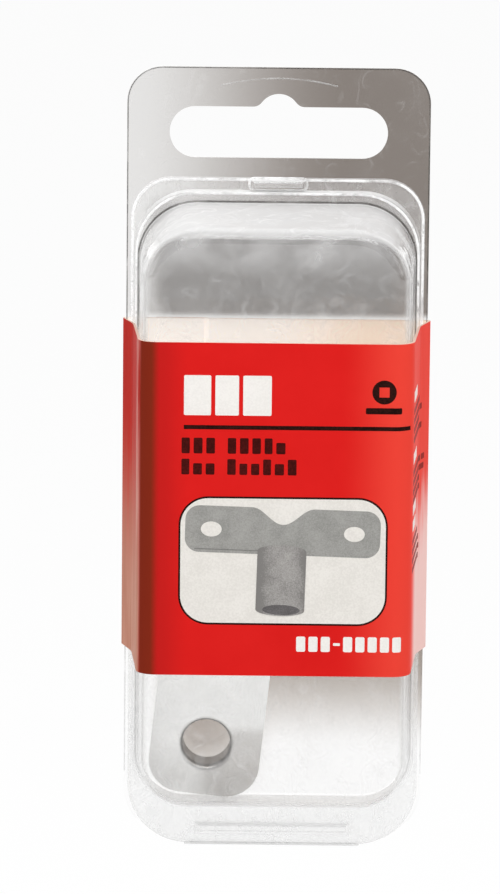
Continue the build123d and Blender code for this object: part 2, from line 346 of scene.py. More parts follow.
# Red of the front: its two tones, a painted highlight towards its right, painted shade towards its
# left and a band of painted shade on the left fold.
FRONT_RED = (rgb(0.68, 0.012, 0.011), rgb(0.76, 0.018, 0.016))
FRONT_RIGHT_PAINTED_HIGHLIGHT = rgb(0.86, 0.060, 0.040)
FRONT_HIGHLIGHT_SPAN = mm(9, 19)
FRONT_LEFT_PAINTED_SHADE = rgb(0.56, 0.014, 0.013)
FRONT_SHADE_SPAN = mm(-12, -17)
FOLD_PAINTED_SHADE = rgb(0.23, 0.024, 0.010)
FOLD_SHADE_SPAN = mm(-16.6, -18.0)

# Depths where the back ends and the front's folds begin.
AHEAD_OF_BACK = mm(0.6, 0.2)
BEHIND_FRONT = mm(-18.4, -17.4)

# Left side: painted shade in two tones of red, a streak of painted highlight by the fold, and a
# pale brown painted reflection at its foot.
LEFT_SPAN = mm(-16, -18)
LEFT_SIDE_PAINTED_SHADE = (rgb(0.40, 0.012, 0.006), rgb(0.62, 0.024, 0.015))
FOLD_HIGHLIGHT_DEPTH = mm(-13.0, -16.5)
FOLD_PAINTED_HIGHLIGHT = rgb(0.66, 0.30, 0.26)
LEFT_FOOT_REFLECTION_FADE = mm(-44, -76)
LEFT_FOOT_PAINTED_REFLECTION = (rgb(0.42, 0.11, 0.055), rgb(0.72, 0.42, 0.32))

# Right side: painted light in two tones of red, and painted glare at its foot; streaky noise moves
# the edge of the glare, and of the left foot's painted reflection, by the waver.
RIGHT_SPAN = mm(16, 18)
RIGHT_SIDE_PAINTED_LIGHT = (rgb(0.78, 0.050, 0.036), rgb(0.92, 0.085, 0.060))
GLARE_DEPTH = mm(-17, -7)
GLARE_FADE = mm(-54, -68)
RIGHT_FOOT_PAINTED_GLARE = rgb(0.90, 0.60, 0.56)
FOOT_PAINTED_LIGHT_WAVER = 22 * MM

# Bare inside, with its tan right, and the cut edges.
CREAM = (rgb(0.93, 0.87, 0.82), rgb(0.98, 0.94, 0.90))
TAN = rgb(0.88, 0.74, 0.62)
TAN_SPAN = mm(-2, 14)
CUT_EDGE = rgb(0.78, 0.56, 0.47)


def sleeve_card():
    """Card with red print outside, bare cream inside and pale cut edges.

    The red has painted shade in a band at its left fold and towards its left, a painted
    highlight towards its right fold, painted shade on the left side with a streak of
    painted highlight by the fold, painted light on the right side, and painted
    reflection and glare towards the foot of the two side panels.  The bare inside
    glows with painted light.
    """
    material, n = new_material("sleeve_card")
    coord, (x, y, z) = n.place()
    turned = n.add("ShaderNodeSeparateXYZ", Vector=coord.outputs["Normal"])
    outward_x = n.math("MULTIPLY", turned.outputs[0], x)
    depth = n.math("SUBTRACT", y, SLEEVE_MID_Y)
    outward = n.math("MULTIPLY_ADD", turned.outputs[1], depth, outward_x)
    printed = n.math("GREATER_THAN", outward, OUTSIDE_MARGIN)
    cut = n.math("GREATER_THAN", n.math("ABSOLUTE", turned.outputs[2]), 0.5)
    fibre = n.noise(coord.outputs["Object"], 2600.0, 4.0, 0.65)
    mottle = n.noise(coord.outputs["Object"], 180.0, 3.0)
    streaky_noise = n.noise(n.stretch(coord.outputs["Object"], (500, 500, 45)), 1.0, 4.0, 0.6)
    ahead = n.step(y, *AHEAD_OF_BACK)
    behind = n.step(y, *BEHIND_FRONT)
    on_side = n.math("MULTIPLY", behind, ahead)
    left = n.math("MULTIPLY", on_side, n.step(x, *LEFT_SPAN))
    right = n.math("MULTIPLY", on_side, n.step(x, *RIGHT_SPAN))
    fade = n.math("MULTIPLY_ADD", streaky_noise, FOOT_PAINTED_LIGHT_WAVER, n.math("ADD", z, -FOOT_PAINTED_LIGHT_WAVER / 2))

    red = n.mix(mottle, *FRONT_RED)
    # Painted highlight towards the right, painted shade towards the left, and painted shade in the
    # left fold's band.
    red = n.mix(n.math("MULTIPLY", ahead, n.step(x, *FRONT_HIGHLIGHT_SPAN)), red, FRONT_RIGHT_PAINTED_HIGHLIGHT)
    red = n.mix(n.math("MULTIPLY", ahead, n.step(x, *FRONT_SHADE_SPAN)), red, FRONT_LEFT_PAINTED_SHADE)
    fold_shade = n.math("MULTIPLY", n.step(x, *FOLD_SHADE_SPAN), n.math("SUBTRACT", 1.0, behind))
    red = n.mix(fold_shade, red, FOLD_PAINTED_SHADE)
    # Painted shade on the left side and a streak of painted highlight by its fold.
    red = n.mix(left, red, n.mix(streaky_noise, *LEFT_SIDE_PAINTED_SHADE))
    fold_highlight = n.math("MULTIPLY", left, n.step(y, *FOLD_HIGHLIGHT_DEPTH))
    red = n.mix(n.math("MULTIPLY", fold_highlight, n.step(streaky_noise, 0.3, 0.6)), red, FOLD_PAINTED_HIGHLIGHT)
    # Painted light on the right side, painted reflection at the left foot and painted glare at the
    # right foot.
    red = n.mix(right, red, n.mix(streaky_noise, *RIGHT_SIDE_PAINTED_LIGHT))
    red = n.mix(n.math("MULTIPLY", left, n.step(fade, *LEFT_FOOT_REFLECTION_FADE)), red, n.mix(streaky_noise, *LEFT_FOOT_PAINTED_REFLECTION))
    right_foot_glare = n.math("MULTIPLY", right, n.step(y, *GLARE_DEPTH))
    right_foot_glare = n.math("MULTIPLY", n.step(fade, *GLARE_FADE), right_foot_glare)
    red = n.mix(right_foot_glare, red, RIGHT_FOOT_PAINTED_GLARE)

    inside = n.mix(fibre, *CREAM)
    inside = n.mix(n.step(x, *TAN_SPAN), inside, TAN)
    inside = n.mix(cut, inside, CUT_EDGE)
    colour = n.mix(printed, inside, red)
    bare = n.math("MULTIPLY", n.math("SUBTRACT", 1.0, printed), n.math("SUBTRACT", 1.0, cut))
    # Painted light: the bare inside glows.
    painted_glow = n.math("MULTIPLY", bare, BARE_CARD_PAINTED_GLOW)
    rough = n.math("MULTIPLY_ADD", printed, -0.35, 0.80)
    height = n.math("MULTIPLY_ADD", mottle, 0.6, fibre)
    normal = n.bump(height, 0.12, 0.05 * MM)
    shader = n.add("ShaderNodeBsdfPrincipled", Roughness=rough, Normal=normal)
    n.put(shader.inputs["Base Color"], colour)
    n.put(shader.inputs["Emission Color"], inside)
    n.put(shader.inputs["Emission Strength"], painted_glow)
    shader.inputs["IOR"].default_value = PRINT_IOR
    n.out(shader.outputs[0])
    return material


# ---------------------------------------------------------------- glue, plate, edges and inks


def hot_glue():
    """Cloudy yellowish film of glue."""
    material, n = new_material("hot_glue")
    coord, _ = n.place()
    cloud = n.noise(coord.outputs["Object"], 300.0)
    colour = n.mix(cloud, rgb(0.72, 0.62, 0.42), rgb(0.85, 0.78, 0.60))
    shader = n.add("ShaderNodeBsdfPrincipled", Roughness=0.5)
    n.put(shader.inputs["Base Color"], colour)
    n.out(shader.outputs[0])
    return material


def hole_gap(n, coord, mount):
    """Distance from the axis of a stated hole, as a shader value in metres."""
    place, axis = MOUNTS[mount]
    from_centre = n.add("ShaderNodeVectorMath", operation="SUBTRACT")
    n.put(from_centre.inputs[0], coord.outputs["Object"])
    from_centre.inputs[1].default_value = place
    across = n.add("ShaderNodeVectorMath", operation="CROSS_PRODUCT")
    n.put(across.inputs[0], from_centre.outputs[0])
    across.inputs[1].default_value = axis
    length = n.add("ShaderNodeVectorMath", operation="LENGTH")
    n.put(length.inputs[0], across.outputs[0])
    return length.outputs["Value"]


# Zinc plate: painted shade on its low end, whose edge wavers, and a ring of painted shade round
# each hole.
LOW_END_PAINTED_SHADE = rgb(0.52, 0.50, 0.48)
LOW_SHADE_AMOUNT = 0.7
LOW_SHADE_TOP = mm(-92.0, -94.5)
LOW_SHADE_LEFT = mm(-12, -8.5)
LOW_SHADE_WAVER = 6 * MM
HOLE_PAINTED_SHADE = rgb(0.20, 0.19, 0.18)
HOLE_SHADE_RING = mm(4.1, 3.55)


def zinc(name, light, dark):
    """Bright zinc plate: cloudy sheen, rolling lines, painted shade round the holes and on the low
    end.
    """
    material, n = new_material(name)
    coord, (x, y, z) = n.place()
    cloud = n.noise(coord.outputs["Object"], 130.0, 4.0, 0.6)
    lines = n.noise(n.stretch(coord.outputs["Object"], (2600, 2600, 160)), 1.0, 3.0)
    grains = n.noise(coord.outputs["Object"], 2200.0, 2.0)
    colour = n.mix(n.step(cloud, 0.3, 0.7), dark, light)
    # Painted shade on the low end, whose edge wavers.
    waver = n.math("MULTIPLY_ADD", cloud, LOW_SHADE_WAVER, -LOW_SHADE_WAVER / 2)
    low = n.step(n.math("ADD", z, waver), *LOW_SHADE_TOP)
    low_end_shade = n.math("MULTIPLY", low, n.step(n.math("ADD", x, waver), *LOW_SHADE_LEFT))
    colour = n.mix(n.math("MULTIPLY", low_end_shade, LOW_SHADE_AMOUNT), colour, LOW_END_PAINTED_SHADE)
    # Painted shade in a ring round each hole.
    gap = n.math("MINIMUM", hole_gap(n, coord, "key_hole_low"), hole_gap(n, coord, "key_hole_high"))
    colour = n.mix(n.step(gap, *HOLE_SHADE_RING), colour, HOLE_PAINTED_SHADE)
    rough = n.math("MULTIPLY_ADD", cloud, 0.22, 0.24)
    height = n.math("MULTIPLY_ADD", lines, 0.5, n.math("MULTIPLY_ADD", cloud, 2.0, grains))
    normal = n.bump(height, 0.25, 0.06 * MM)
    shader = n.add("ShaderNodeBsdfPrincipled", Metallic=0.9, Roughness=rough, Normal=normal)
    n.put(shader.inputs["Base Color"], colour)
    n.out(shader.outputs[0])
    return material


# Painted highlight and shade lines on the rolled edges: heights where they are faintest and
# clearest, and what share shows at the least.
BEAD_FADE = mm(-95, -40)
BEAD_FAINTEST = 0.2
BEAD_LEAST_EVEN = 0.35


def painted_edge_line(name, colour, cover, painted_glow=0.0):
    """Painted line on a rolled edge of the sheet, pale for a highlight and dark for shade: how much
    it hides, and a painted glow for the light it catches.
    """
    material, n = new_material(name)
    coord, (_, _, z) = n.place()
    broken = n.noise(coord.outputs["Object"], 700.0, 3.0, 0.6)
    tone = n.mix(broken, colour, rgb(*(0.8 * c for c in colour[:3])))
    solid = n.add("ShaderNodeBsdfPrincipled", Roughness=0.25)
    n.put(solid.inputs["Base Color"], tone)
    n.put(solid.inputs["Emission Color"], tone)
    solid.inputs["Emission Strength"].default_value = painted_glow
    clear = n.add("ShaderNodeBsdfTransparent", Color=rgb(0.98, 0.98, 0.98))
    upper = n.math("MULTIPLY_ADD", n.step(z, *BEAD_FADE), 1.0 - BEAD_FAINTEST, BEAD_FAINTEST)
    uneven = n.step(n.noise(coord.outputs["Object"], 170.0, 4.0, 0.6), 0.30, 0.60)
    uneven = n.math("MULTIPLY_ADD", uneven, 1.0 - BEAD_LEAST_EVEN, BEAD_LEAST_EVEN)
    shown = n.math("MULTIPLY", n.math("MULTIPLY", n.step(broken, 0.15, 0.50), uneven), upper)
    amount = n.math("MULTIPLY", shown, cover)
    mixed = n.add("ShaderNodeMixShader", Fac=amount)
    n.put(mixed.inputs[1], clear.outputs[0])
    n.put(mixed.inputs[2], solid.outputs[0])
    n.out(mixed.outputs[0])
    return material


def ink(name, base, spot):
    """Printing ink with a faint screen of specks."""
    material, n = new_material(name)
    coord, _ = n.place()
    specks = n.noise(coord.outputs["Object"], 3500.0, 2.0)
    cloud = n.noise(coord.outputs["Object"], 260.0, 3.0)
    shade = n.math("MULTIPLY_ADD", specks, 0.6, n.math("MULTIPLY", cloud, 0.4))
    colour = n.mix(n.step(shade, 0.35, 0.65), base, spot)
    normal = n.bump(specks, 0.1, 0.03 * MM)
    shader = n.add("ShaderNodeBsdfPrincipled", Roughness=0.4, Normal=normal)
    n.put(shader.inputs["Base Color"], colour)
    shader.inputs["IOR"].default_value = PRINT_IOR
    n.out(shader.outputs[0])
    return material


def halftone(name, low, high, centre=None, half=None):
    """Grey screened ink of the printed picture; centre and half shade it like a cylinder."""
    material, n = new_material(name)
    coord, (x, _, _) = n.place()
    screen = n.noise(coord.outputs["Object"], 5200.0, 2.0, 0.7)
    cloud = n.noise(coord.outputs["Object"], 350.0, 4.0, 0.6)
    tone = n.math("MULTIPLY_ADD", screen, 0.55, n.math("MULTIPLY", cloud, 0.45))
    tone = n.step(tone, 0.25, 0.75)
    if half:
        across = n.math("DIVIDE", n.math("SUBTRACT", x, centre), half)
        edge = n.math("POWER", n.math("ABSOLUTE", across), 3.0)
        tone = n.math("SUBTRACT", tone, n.math("MULTIPLY", edge, 0.75), clamp=True)
    colour = n.mix(tone, low, high)
    shader = n.add("ShaderNodeBsdfPrincipled", Roughness=0.45)
    n.put(shader.inputs["Base Color"], colour)
    n.out(shader.outputs[0])
    return material


def dress(node, material):
    """Give a CAD node a material in every slot."""
    obj = frame["nodes"][node]
    if not obj.data.materials:
        obj.data.materials.append(material)
    for slot in range(len(obj.data.materials)):
        obj.data.materials[slot] = material


# ---------------------------------------------------------------- sleeve wrap


def rounded_profile(corners, steps=20):
    """Points along straight runs with round corners; each corner is x, y and radius in mm."""
    points = [Vector(corners[0][:2])]
    for before, here, after in zip(corners, corners[1:], corners[2:]):
        corner = Vector(here[:2])
        back = (Vector(before[:2]) - corner).normalized()
        ahead = (Vector(after[:2]) - corner).normalized()
        half_turn = back.angle(ahead) / 2
        reach = here[2] / math.tan(half_turn)
        centre = corner + (back + ahead).normalized() * here[2] / math.sin(half_turn)
        start = corner + back * reach - centre
        end = corner + ahead * reach - centre
        for i in range(steps + 1):
            points.append(centre + start.slerp(end, i / steps).normalized() * here[2])
    points.append(Vector(corners[-1][:2]))
    return [p * MM for p in points]


# The profile's points, and how far along it each one lies.
PROFILE = rounded_profile(SLEEVE_CORNERS)
PROFILE_STARTS = [0.0]
for first, second in zip(PROFILE, PROFILE[1:]):
    PROFILE_STARTS.append(PROFILE_STARTS[-1] + (second - first).length)


def on_sleeve(run, z, lift):
    """The point that lies a run from the front's middle along the sleeve, lifted off it."""
    side = -1.0 if run < 0 else 1.0
    run = min(abs(run), PROFILE_STARTS[-1] - 1e-7)
    for first, second, start, end in zip(PROFILE, PROFILE[1:], PROFILE_STARTS, PROFILE_STARTS[1:]):
        if run <= end:
            break
    along = (second - first).normalized()
    point = first + along * (run - start) + Vector((along.y, -along.x)) * lift
    return Vector((side * point.x, point.y, z))


def printed(name, loops, material, lift=1.0):
    """Ink shape on the sleeve: loops in mm along the sleeve and down its height.

    Loops inside others are holes.  lift counts ink films below this one.
    """
    curve = bpy.data.curves.new(name, "CURVE")
    curve.dimensions = "2D"
    curve.fill_mode = "BOTH"
    curve.extrude = 0.4 * INK
    for loop in loops:
        spline = curve.splines.new("POLY")
        spline.points.add(len(loop) - 1)
        for point, (u, z) in zip(spline.points, loop):
            point.co = (u * MM, z * MM, 0.0, 1.0)
        spline.use_cyclic_u = True
    source = bpy.data.objects.new(name + "_source", curve)
    bpy.context.collection.objects.link(source)
    mesh = bpy.data.meshes.new_from_object(source)
    bpy.data.objects.remove(source)
    mesh.name = name
    cut_at_bends(mesh)
    for vertex in mesh.vertices:
        u, z, up = vertex.co
        vertex.co = on_sleeve(u, z, lift * INK + up - 0.5 * INK)
    mesh.materials.clear()
    mesh.materials.append(material)
    piece = bpy.data.objects.new(name, mesh)
    bpy.context.collection.objects.link(piece)
    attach(piece, "sleeve_front")


def cut_at_bends(mesh):
    """Add edges where the sleeve's profile bends, so that ink follows it."""
    shape = bmesh.new()
    shape.from_mesh(mesh)
    bmesh.ops.remove_doubles(shape, verts=shape.verts, dist=1e-8)
    reach = [v.co.x for v in shape.verts]
    for start in PROFILE_STARTS[1:]:
        for run in (start, -start):
            if min(reach) < run < max(reach):
                geom = list(shape.verts) + list(shape.edges) + list(shape.faces)
                bmesh.ops.bisect_plane(shape, geom=geom, plane_co=(run, 0, 0), plane_no=(1, 0, 0))
    shape.to_mesh(mesh)
    shape.free()


def rounded_box(u0, u1, z0, z1, radius, steps=6):
    """Loop of a box with round corners, in mm."""
    loop = []
    corners = ((u1 - radius, z1 - radius), (u0 + radius, z1 - radius))
    corners += ((u0 + radius, z0 + radius), (u1 - radius, z0 + radius))
    for quarter, (cu, cz) in enumerate(corners):
        for i in range(steps + 1):
            angle = (quarter + i / steps) * math.pi / 2
            loop.append((cu + radius * math.cos(angle), cz + radius * math.sin(angle)))
    return loop


def ellipse(cu, cz, ru, rz, steps=40):
    """Loop of an ellipse, by its centre and half widths."""
    turn = 2 * math.pi / steps
    return [(cu + ru * math.cos(i * turn), cz + rz * math.sin(i * turn)) for i in range(steps)]


# ---------------------------------------------------------------- printed front

# All in mm: u runs along the sleeve from the front's middle, and z is height.
# A box is its left, right, foot and top; a row is its left, foot and height.

TITLE = (-13.2, -43.9, 5.85)
TITLE_WIDTHS = (3.9, 3.4, 4.1)
TITLE_GAP = 0.6
TITLE_R = 0.22
RULE = (-13.2, 19.8, -45.95, -45.35)
RULE_R = 0.05

# Two rows of blocks: left, foot, and how many blocks each word has.
USE_LINES = ((-13.5, -49.5, (3, 5)), (-13.5, -52.6, (3, 6)))
LETTER_W = 1.3
LETTER_GAP = 0.55
LETTER_H = 1.65
LETTER_R = 0.18
TALL_H = 2.3
TALL_CHANCE = 0.2
WORD_GAP = 1.3

# Ring with a square hole, by its middle and radius, over a bar.
EMBLEM = (15.6, -40.3, 1.75)
EMBLEM_HOLE = 0.42
EMBLEM_LABEL = (12.95, 18.2, -43.5, -42.6)
EMBLEM_LABEL_R = 0.2

# Picture panel, its corner radius and the width of its outline.
PANEL = (-13.85, 16.35, -74.75, -55.8)
PANEL_R = 4.3
PANEL_LINE = 0.28
PANEL_STEPS = 12

# Row of number blocks in groups; the empty group is the dash.
NUMBER = (3.3, -78.65, 2.25)
NUMBER_GROUPS = (3, 0, 5)
NUMBER_W = 1.32
NUMBER_GAP = 0.46
NUMBER_R = 0.25
NUMBER_DASH = 1.0
NUMBER_DASH_H = 0.4
NUMBER_DASH_R = 0.1


def greek_word(prefix, u, z, letters, material, rng):
    """A word as plain blocks, with now and then a taller one."""
    for i in range(letters):
        height = TALL_H if i == 0 or rng.random() < TALL_CHANCE else LETTER_H
        width = LETTER_W * rng.uniform(0.85, 1.05)
        box = rounded_box(u, u + width, z, z + height, LETTER_R)
        printed(f"{prefix}_{i}", [box], material)
        u += width + LETTER_GAP
    return u


def print_front(white, black, maroon, off_white):
    """Title blocks, rule, greeked lines, emblem, picture panel and number blocks."""
    rng = random.Random(7)
    u, z, height = TITLE
    for i, width in enumerate(TITLE_WIDTHS):
        printed(f"title_block_{i}", [rounded_box(u, u + width, z, z + height, TITLE_R)], white)
        u += width + TITLE_GAP
    printed("rule", [rounded_box(*RULE, RULE_R)], black)
    for row, (u, z, words) in enumerate(USE_LINES):
        for word, letters in enumerate(words):
            u = greek_word(f"use_{row}_{word}", u, z, letters, maroon, rng) + WORD_GAP
    u, z, radius = EMBLEM
    hole = EMBLEM_HOLE * radius
    corners = ((-1, -1), (1, -1), (1, 1), (-1, 1))
    square = [(u + right * hole, z + up * hole) for right, up in corners]
    printed("emblem_disc", [ellipse(u, z, radius, radius), square], black)
    printed("emblem_bar", [rounded_box(*EMBLEM_LABEL, EMBLEM_LABEL_R)], black)
    u0, u1, z0, z1 = PANEL
    printed("panel_line", [rounded_box(u0, u1, z0, z1, PANEL_R, PANEL_STEPS)], black)
    t = PANEL_LINE
    inner = rounded_box(u0 + t, u1 - t, z0 + t, z1 - t, PANEL_R - t, PANEL_STEPS)
    printed("panel_ground", [inner], off_white, lift=2.0)
    u, z, height = NUMBER
    for group, letters in enumerate(NUMBER_GROUPS):
        if not letters:
            foot = z + (height - NUMBER_DASH_H) / 2
            dash = rounded_box(u, u + NUMBER_DASH, foot, foot + NUMBER_DASH_H, NUMBER_DASH_R)
            printed("number_dash", [dash], white)
            u += NUMBER_DASH + NUMBER_GAP
        for i in range(letters):
            box = rounded_box(u, u + NUMBER_W, z, z + height, NUMBER_R)
            printed(f"number_{group}_{i}", [box], white)
            u += NUMBER_W + NUMBER_GAP


# ---------------------------------------------------------------- printed picture of the key

# Where the middle of the wing's top edge is printed, and at what scale and tilt.
PICTURE_MIDDLE = (1.3, -57.45)
PICTURE_SCALE = 0.4305
PICTURE_TILT = math.radians(-1.6)

# The key as the picture has it, in its own mm from there, sideways and down.
# A hole and the barrel's mouth are a middle and half widths.  The edge is the line along the
# wing's foot, left of the barrel.
KEY_HALF_SPAN = 32.75
KEY_WING_H = 16.0
KEY_CORNER_R = 4.8
KEY_DIP = 5.7
KEY_DIP_HALF = 10.5
KEY_HOLE = (24.0, 8.0, 3.5, 2.6)
KEY_EDGE_RISE = 1.3
KEY_EDGE_IN = (3.2, 3.4)
KEY_EDGE_H = (0.35, 0.3)
KEY_BARREL_HALF = 8.2
KEY_BARREL_START = 12.6
KEY_SHOULDER = 2.2
KEY_BARREL_END = 35.3
KEY_BARREL_FOOT = KEY_BARREL_END - 0.3
KEY_FOOT_DROP = 2.0
KEY_MOUTH = (0.4, KEY_BARREL_END - 0.4, 6.3, 1.75)

# Steps along the dip, round a corner, and round one end of the barrel.
DIP_STEPS = 24
CORNER_STEPS = 8
BARREL_STEPS = 16


def picture_point(span, down):
    """Place a point of the key, in its own mm, in the printed picture."""
    x = span * PICTURE_SCALE
    z = -down * PICTURE_SCALE
    c, s = math.cos(PICTURE_TILT), math.sin(PICTURE_TILT)
    return (PICTURE_MIDDLE[0] + x * c - z * s, PICTURE_MIDDLE[1] + x * s + z * c)


def picture_loop(points):
    """Place a loop of the key's points in the printed picture."""
    return [picture_point(*p) for p in points]


def wing_loop():
    """Outline of the wing from its dip round both ends."""
    loop = []
    for i in range(DIP_STEPS + 1):
        across = -KEY_DIP_HALF + 2 * KEY_DIP_HALF * i / DIP_STEPS
        loop.append((across, KEY_DIP * 0.5 * (1 + math.cos(math.pi * across / KEY_DIP_HALF))))
    r = KEY_CORNER_R
    side = KEY_HALF_SPAN - r
    low = KEY_WING_H - r
    for cx, cy, begin in ((side, r, -90), (side, low, 0), (-side, low, 90), (-side, r, 180)):
        for i in range(CORNER_STEPS + 1):
            angle = math.radians(begin + 90 * i / CORNER_STEPS)
            loop.append((cx + r * math.cos(angle), cy + r * math.sin(angle)))
    return loop


def print_picture(grey, barrel_grey, dark, edge_grey):
    """The key as a screened picture: wing, edge line, barrel and open mouth."""
    u, down, ru, rd = KEY_HOLE
    holes = [picture_loop(ellipse(side * u, down, ru, rd)) for side in (-1, 1)]
    printed("picture_wing", [picture_loop(wing_loop()), *holes], grey, lift=3.0)
    low = KEY_WING_H - KEY_EDGE_RISE
    edge = [
        (-KEY_HALF_SPAN + KEY_EDGE_IN[0], low),
        (-KEY_BARREL_HALF, low),
        (-KEY_BARREL_HALF, low + KEY_EDGE_H[1]),
        (-KEY_HALF_SPAN + KEY_EDGE_IN[1], low + KEY_EDGE_H[0]),
    ]
    printed("picture_edge", [picture_loop(edge)], edge_grey, lift=4.0)
    barrel = []
    shoulder = (math.pi, KEY_BARREL_START + KEY_SHOULDER, KEY_SHOULDER)
    foot = (0.0, KEY_BARREL_FOOT, KEY_FOOT_DROP)
    for begin, middle, drop in (shoulder, foot):
        for i in range(BARREL_STEPS + 1):
            angle = begin + math.pi * i / BARREL_STEPS
            barrel.append((KEY_BARREL_HALF * math.cos(angle), middle + drop * math.sin(angle)))
    printed("picture_barrel", [picture_loop(barrel)], barrel_grey, lift=5.0)
    printed("picture_mouth", [picture_loop(ellipse(*KEY_MOUTH))], dark, lift=6.0)


# ---------------------------------------------------------------- printed right side

# In mm along the sleeve and up: where rows start and may end, and each row's foot.
SIDE_START = 21.9
SIDE_END = 37.0
SIDE_RAGGED = 4
SIDE_HEADS = (-42.4, -51.5, -59.1, -61.5)
SIDE_HEAD_H = 1.55
SIDE_HEAD_W = 6.5
SIDE_LINES = (
    *(-44.2, -45.6, -47.0, -48.4),
    *(-53.3, -54.7, -56.1, -57.4),
    *(-63.5, -64.9, -66.3, -67.7),
)
SIDE_ROW_H = 0.85
SIDE_WORD = (1.0, 2.8)
SIDE_WORD_GAP = 0.45
SIDE_WORD_LEAST = 0.8
SIDE_WORD_R = 0.12


def print_side(white, dark_red):
    """Rows of greeked small print on the right side panel: bold pale heads, thin dark rows."""
    rng = random.Random(11)
    rows = [(z, SIDE_HEAD_H, SIDE_HEAD_W, white) for z in SIDE_HEADS]
    rows += [(z, SIDE_ROW_H, 0.0, dark_red) for z in SIDE_LINES]
    for row, (z, height, run, material) in enumerate(rows):
        u = SIDE_START
        end = u + run if run else rng.uniform(SIDE_END - SIDE_RAGGED, SIDE_END)
        word = 0
        while u < end - SIDE_WORD_LEAST:
            right = min(u + rng.uniform(*SIDE_WORD), end)
            shape = rounded_box(u, right, z, z + height, SIDE_WORD_R, 3)
            printed(f"side_{row}_{word}", [shape], material)
            u = right + SIDE_WORD_GAP
            word += 1


# ---------------------------------------------------------------- fold at the foot

# Columns across, steps round, and how deep and how often the fold's foot waves.
FOLD_COLUMNS = 24
FOLD_STEPS = 10
FOLD_WAVE = 0.04
FOLD_WAVE_TURN = 2.1


def finished(name, shape, material):
    """Object with one material from a bmesh, which is freed."""
    bmesh.ops.recalc_face_normals(shape, faces=shape.faces)
    mesh = bpy.data.meshes.new(name)
    shape.to_mesh(mesh)
    shape.free()
    mesh.materials.append(material)
    piece = bpy.data.objects.new(name, mesh)
    bpy.context.collection.objects.link(piece)
    return piece


def fold_strip(material):
    """The living hinge as a half-round strip, a little uneven."""
    low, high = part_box("living_hinge")
    axis_z = high[2]
    radius = high[1]
    shape = bmesh.new()
    rows = []
    for i in range(FOLD_COLUMNS + 1):
        x = low[0] + (high[0] - low[0]) * i / FOLD_COLUMNS
        wave = 1.0 - FOLD_WAVE * (1 + math.cos(i * FOLD_WAVE_TURN)) / 2
        ring = []
        for k in range(FOLD_STEPS + 1):
            angle = math.pi + math.pi * k / FOLD_STEPS
            y = radius * math.cos(angle)
            ring.append(shape.verts.new((x, y, axis_z + wave * radius * math.sin(angle))))
        rows.append(ring)
    for left, right in zip(rows, rows[1:]):
        for k in range(FOLD_STEPS + 1):
            after = (k + 1) % (FOLD_STEPS + 1)
            shape.faces.new((left[k], left[after], right[after], right[k]))
    shape.faces.new(rows[0][::-1])
    shape.faces.new(rows[-1])
    piece = finished("fold_strip", shape, material)
    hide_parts("living_hinge")
    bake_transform(piece)


# ---------------------------------------------------------------- rolled edges of the sheets, as painted highlight and shade lines

BEAD_SIDES = 6
SHEET_T = 0.4 * MM

# Rim of the front sheet: corner radii, and its bead's place inside the edge and radius.
RIM_CORNER_R = 6.0 * MM
RIM_FOOT_R = 9.0 * MM
RIM_INSET = 0.3 * MM
RIM_BEAD_R = 0.21 * MM

# Beads on the terrace, near its edge and at the dome's root: half width, top and foot.
TERRACE_Y = -1.6 * MM
TERRACE = mm(20.55, -14.45, -105.95)
TERRACE_BEAD_R = 0.19 * MM
DOME_ROOT = mm(20.35, -15.65, -105.6)
DOME_ROOT_R = mm(8.6, 7.4)
ROOT_BEAD_R = 0.13 * MM

# Foot of the thumb bump.
BUMP = mm(4.2, -12.35, -14.1)
BUMP_R = 0.7 * MM
BUMP_BEAD_R = 0.2 * MM

# Edge of the back sheet from its tab down; it stops short of a corner by this many radii.
TAB_CORNER_R = 5.2 * MM
TAB_INSET = 0.13 * MM
TAB_BEAD_R = 0.09 * MM
TAB_END = 1.2

# Faint arch over the hang slot: radius, top and half span.
ARCH = mm(34.0, 2.3, 8.5)
ARCH_Y = -0.15 * MM
ARCH_BEAD_R = 0.12 * MM
ARCH_STEPS = 24


def outline(half, top, foot, top_r, foot_r, steps=10):
    """Loop of a panel with round corners, by its half width, top and foot, in metres."""
    loop = []
    corners = ((half - top_r, top - top_r, top_r), (top_r - half, top - top_r, top_r))
    corners += ((foot_r - half, foot + foot_r, foot_r), (half - foot_r, foot + foot_r, foot_r))
    for quarter, (cx, cz, r) in enumerate(corners):
        for i in range(steps + 1):
            angle = (quarter + i / steps) * math.pi / 2
            loop.append(Vector((cx + r * math.cos(angle), cz + r * math.sin(angle))))
    return loop


def bead(name, line, face_y, radius, material, body, closed=True):
    """Half-round bead on the front of a face at face_y, along a line of x and z points."""
    shape = bmesh.new()
    rings = []
    last = len(line) - 1
    for i, point in enumerate(line):
        before = line[i - 1] if closed or i else point
        after = line[(i + 1) % len(line)] if closed or i < last else point
        along = (after - before).normalized()
        ring = []
        for k in range(BEAD_SIDES + 1):
            angle = math.pi * k / BEAD_SIDES
            offset = radius * math.cos(angle)
            x = point.x - along.y * offset
            z = point.y + along.x * offset
            ring.append(shape.verts.new((x, face_y - radius * math.sin(angle), z)))
        rings.append(ring)
    pairs = list(zip(rings, rings[1:]))
    if closed:
        pairs.append((rings[-1], rings[0]))
    for first, second in pairs:
        for k in range(-1, BEAD_SIDES):
            shape.faces.new((first[k], first[k + 1], second[k + 1], second[k]))
    if not closed:
        shape.faces.new(rings[0])
        shape.faces.new(rings[-1][::-1])
    piece = finished(name, shape, material)
    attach(piece, body)


